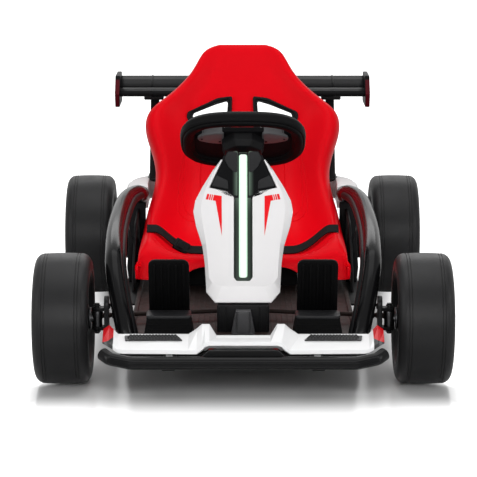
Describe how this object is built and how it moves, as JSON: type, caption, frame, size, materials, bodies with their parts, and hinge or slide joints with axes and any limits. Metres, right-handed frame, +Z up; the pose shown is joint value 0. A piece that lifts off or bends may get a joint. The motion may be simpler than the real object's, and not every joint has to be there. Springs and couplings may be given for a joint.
{
  "type": "electric drift kart",
  "caption": "Child's ride-on electric drift kart: low tube frame, moulded bucket seat, steering wheel on a sloped console, pedals, side guards, slick wheels and a rear wing.",
  "frame": {"origin": "centre of the footprint on the ground", "axes": "+Z up, -Y towards the nose, +X to the kart's left"},
  "size_m": [0.75, 1.1299, 0.534],
  "materials": {
    "tyre": "slick black rubber tread",
    "rim": "black moulded rim",
    "frame": "black powder coat on steel tube",
    "steel": "plated steel",
    "tube": "gloss black tube",
    "plastic": "black moulded plastic",
    "gloss": "gloss dark grey plastic",
    "grip": "soft black grip",
    "floor": "dark moulded floor",
    "pedal": "ribbed black plastic",
    "base": "dark grey plastic",
    "white": "gloss white plastic",
    "seat": "satin red moulded plastic",
    "light": "pale green light strip",
    "webbing": "black woven webbing",
    "wing": "black wing plastic",
    "grille": "dark mesh"
  },
  "bodies": {
    "chassis": {"chassis_frame": "frame", "rear_axle": "steel", "front_axle_beam": "frame", "floor_pan": "floor", "battery_block": "plastic", "console_cover": "white", "console_body": "plastic", "console_base": "base", "led_strip": "light", "seat_shell": "seat", "rear_deck": "white", "wing_main": "wing", "wing_flap": "wing", "front_bumper": "tube", "front_fascia": "white", "rear_bumper": "tube", "drive_housing_left": "plastic", "drive_housing_right": "plastic", "pedal_left": "pedal", "pedal_right": "pedal", "pedal_box_left": "pedal", "pedal_box_right": "pedal", "side_guard_left": "tube", "side_guard_right": "tube", "side_panel_left": "plastic", "side_panel_right": "plastic", "slot_trim_left": "plastic", "slot_trim_right": "plastic", "wing_stay_left": "plastic", "wing_stay_right": "plastic", "endplate_left": "wing", "endplate_right": "wing", "grille_left": "grille", "grille_right": "grille", "lap_belt_left": "webbing", "lap_belt_right": "webbing"},
    "steering": {"steering_column": "steel", "steering_rim": "grip", "steering_hub": "gloss"},
    "knuckle_left": {"knuckle_left": "steel"},
    "tie_rod_left": {"tie_rod_left": "steel"},
    "front_wheel_left": {"front_rim_left": "rim", "front_tyre_left": "tyre"},
    "rear_wheel_left": {"rear_rim_left": "rim", "rear_tyre_left": "tyre"},
    "knuckle_right": {"knuckle_right": "steel"},
    "tie_rod_right": {"tie_rod_right": "steel"},
    "front_wheel_right": {"front_rim_right": "rim", "front_tyre_right": "tyre"},
    "rear_wheel_right": {"rear_rim_right": "rim", "rear_tyre_right": "tyre"}
  },
  "joints": [
    {"name": "steering", "type": "hinge", "parent": "chassis", "child": "steering", "pos_m": [0, -0.27422, 0.1312], "axis": [0, 0.5299, 0.848], "range_deg": [-35, 35]},
    {"name": "knuckle_left", "type": "hinge", "parent": "chassis", "child": "knuckle_left", "pos_m": [0.265, -0.35, 0.1187], "axis": [0, 0, 1], "range_deg": [-20.5, 20.5]},
    {"name": "tie_rod_left", "type": "hinge", "parent": "knuckle_left", "child": "tie_rod_left", "pos_m": [0.265, -0.284, 0.108], "axis": [0, 0, 1], "range_deg": [-20.5, 20.5]},
    {"name": "front_wheel_left", "type": "hinge", "parent": "knuckle_left", "child": "front_wheel_left", "pos_m": [0.325, -0.35, 0.1187], "axis": [1, 0, 0], "continuous": true},
    {"name": "rear_wheel_left", "type": "hinge", "parent": "chassis", "child": "rear_wheel_left", "pos_m": [0.325, 0.41, 0.1265], "axis": [1, 0, 0], "continuous": true},
    {"name": "knuckle_right", "type": "hinge", "parent": "chassis", "child": "knuckle_right", "pos_m": [-0.265, -0.35, 0.1187], "axis": [0, 0, 1], "range_deg": [-20.5, 20.5]},
    {"name": "tie_rod_right", "type": "hinge", "parent": "knuckle_right", "child": "tie_rod_right", "pos_m": [-0.265, -0.284, 0.108], "axis": [0, 0, 1], "range_deg": [-20.5, 20.5]},
    {"name": "front_wheel_right", "type": "hinge", "parent": "knuckle_right", "child": "front_wheel_right", "pos_m": [-0.325, -0.35, 0.1187], "axis": [1, 0, 0], "continuous": true},
    {"name": "rear_wheel_right", "type": "hinge", "parent": "chassis", "child": "rear_wheel_right", "pos_m": [-0.325, 0.41, 0.1265], "axis": [1, 0, 0], "continuous": true}
  ],
  "couplings": [
    {"joint": "knuckle_left", "follows": "steering", "ratio": 0.5714},
    {"joint": "tie_rod_left", "follows": "steering", "ratio": -0.5714},
    {"joint": "knuckle_right", "follows": "steering", "ratio": 0.5714},
    {"joint": "tie_rod_right", "follows": "steering", "ratio": -0.5714}
  ]
}
